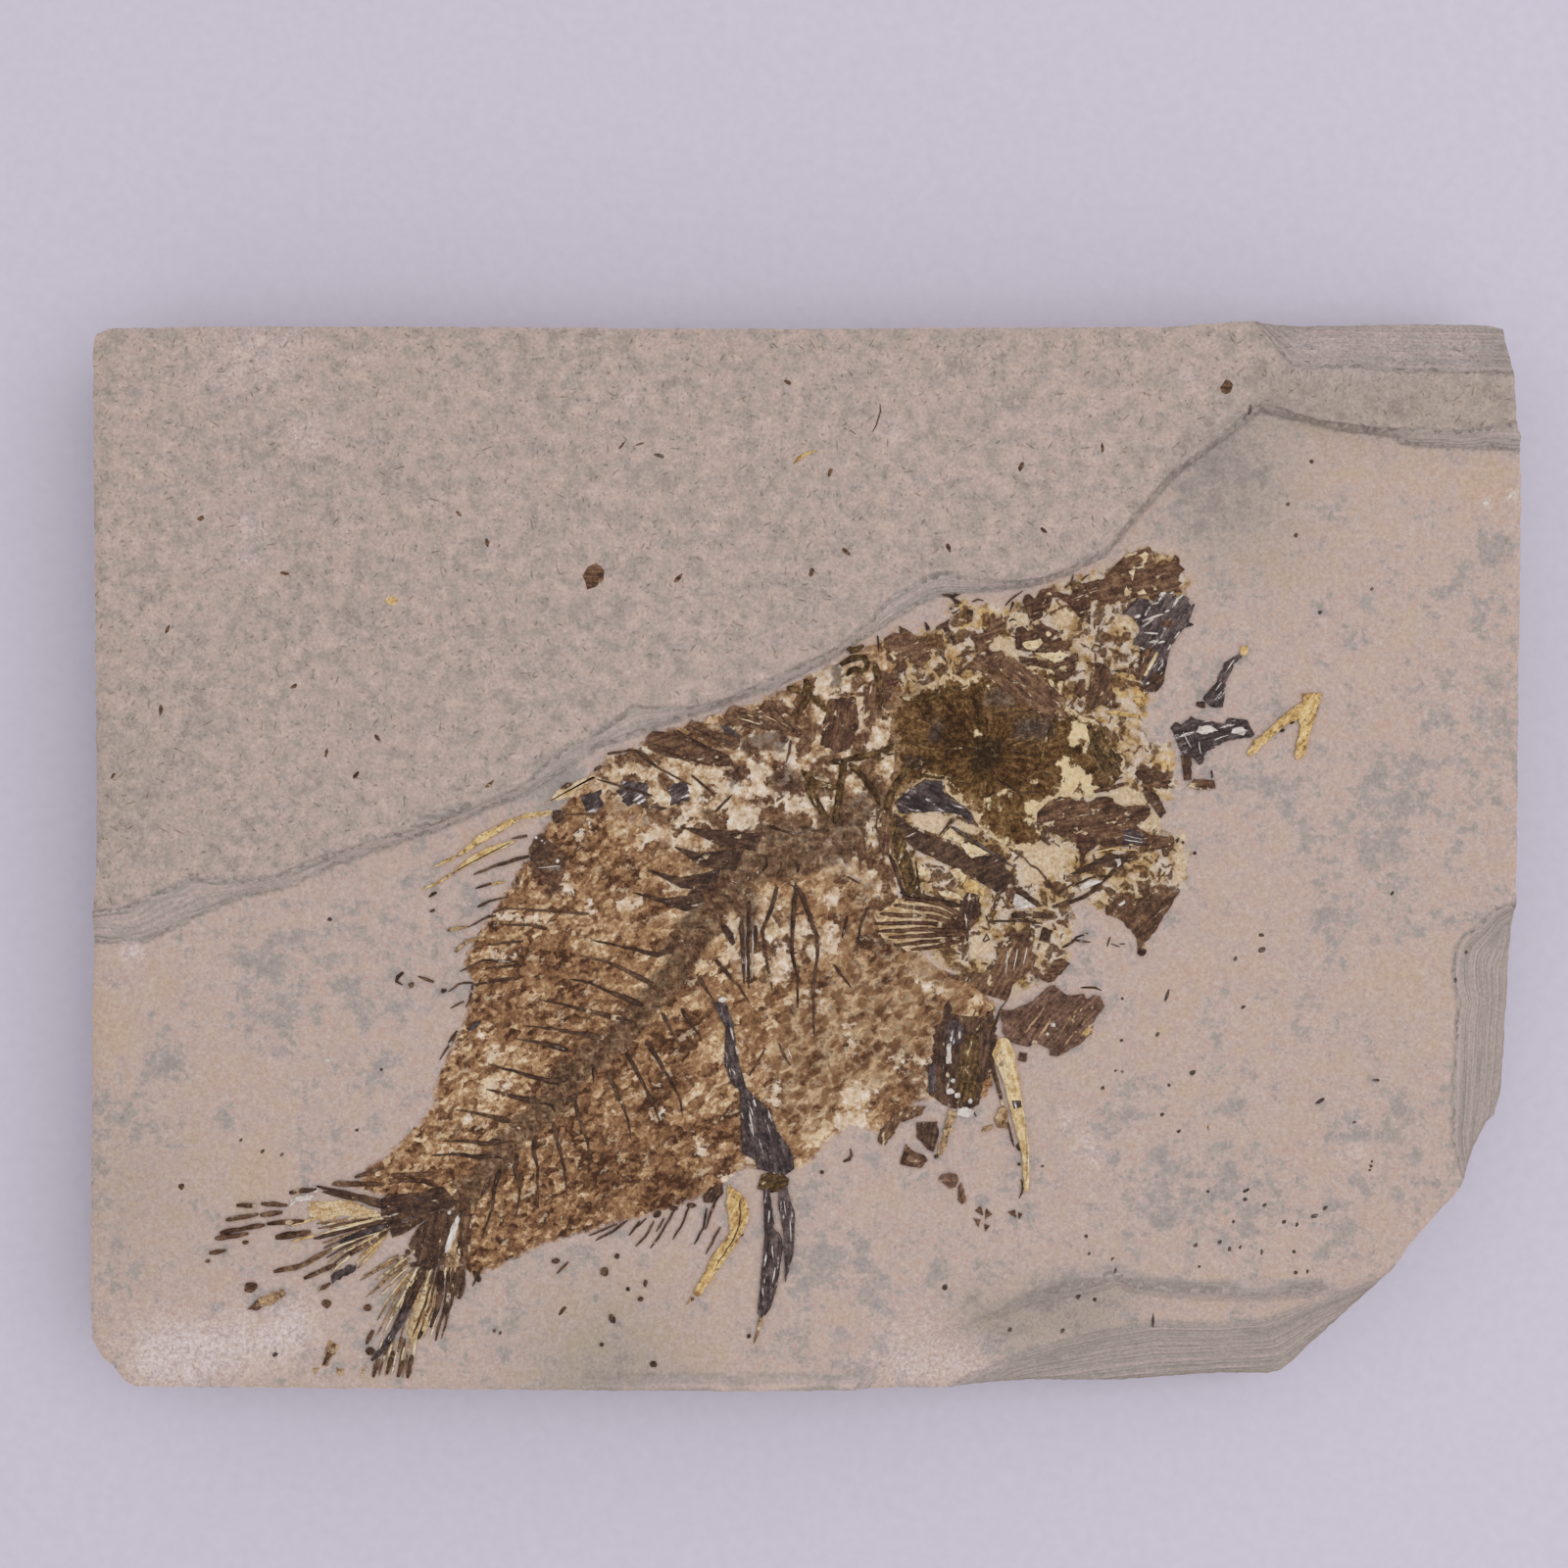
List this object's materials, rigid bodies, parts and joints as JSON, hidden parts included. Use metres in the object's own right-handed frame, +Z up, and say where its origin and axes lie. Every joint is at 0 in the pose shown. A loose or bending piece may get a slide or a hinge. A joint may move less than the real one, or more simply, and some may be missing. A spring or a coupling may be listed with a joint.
{
  "type": "fossil fish slab",
  "caption": "Flat slab of pale layered limestone with a crushed fossil fish, its scales, bones and fins, on the split face; lies flat for display.",
  "frame": {"origin": "middle of the slab's outline, on its flat underside", "axes": "+X along the slab's long edge towards the fish's head, +Y across the slab towards the thicker stone layer, +Z up out of the fish's face"},
  "size_m": [0.1458, 0.1084, 0.014],
  "materials": {
    "limestone": "dry, matt, split and sawn limestone",
    "scales": "mottled brown scales, dull",
    "dark_bone": "dark brown fossil bone, faint sheen",
    "olive_bone": "olive brown fossil bone, faint sheen",
    "slate_bone": "slate grey fossil bone, satin",
    "yellow_bone": "yellow fossil bone, satin",
    "cream_bone": "cream film with brown bones, dull",
    "red_brown_bone": "red brown fossil bone, dull"
  },
  "bodies": {
    "root": {"stone_slab": "limestone", "scaly_flank": "scales", "anal_support": "slate_bone", "tail_fin_upper": "dark_bone", "tail_fin_lower": "dark_bone", "dorsal_fin": "yellow_bone", "nape_blade_front": "red_brown_bone", "nape_blade_middle": "red_brown_bone", "nape_blade_rear": "red_brown_bone", "skull": "olive_bone", "skull_roof": "cream_bone", "snout": "slate_bone", "shoulder_girdle": "dark_bone", "pectoral_fin": "dark_bone", "gill_bones": "cream_bone", "breast_plate": "slate_bone", "gill_plate": "red_brown_bone", "cheek_plate": "red_brown_bone", "pelvic_girdle": "olive_bone", "pelvic_spine": "yellow_bone", "pelvic_ray": "dark_bone", "anal_fin": "dark_bone", "anal_spine_rear": "yellow_bone", "anal_spine_long": "slate_bone", "anal_spine_front": "slate_bone", "toothed_jaw": "slate_bone", "jaw_rod": "slate_bone", "forked_bone": "yellow_bone", "lip_plate": "red_brown_bone", "jaw_chip": "red_brown_bone", "loose_scale_large": "red_brown_bone", "loose_scale_small": "red_brown_bone"}
  },
  "joints": []
}
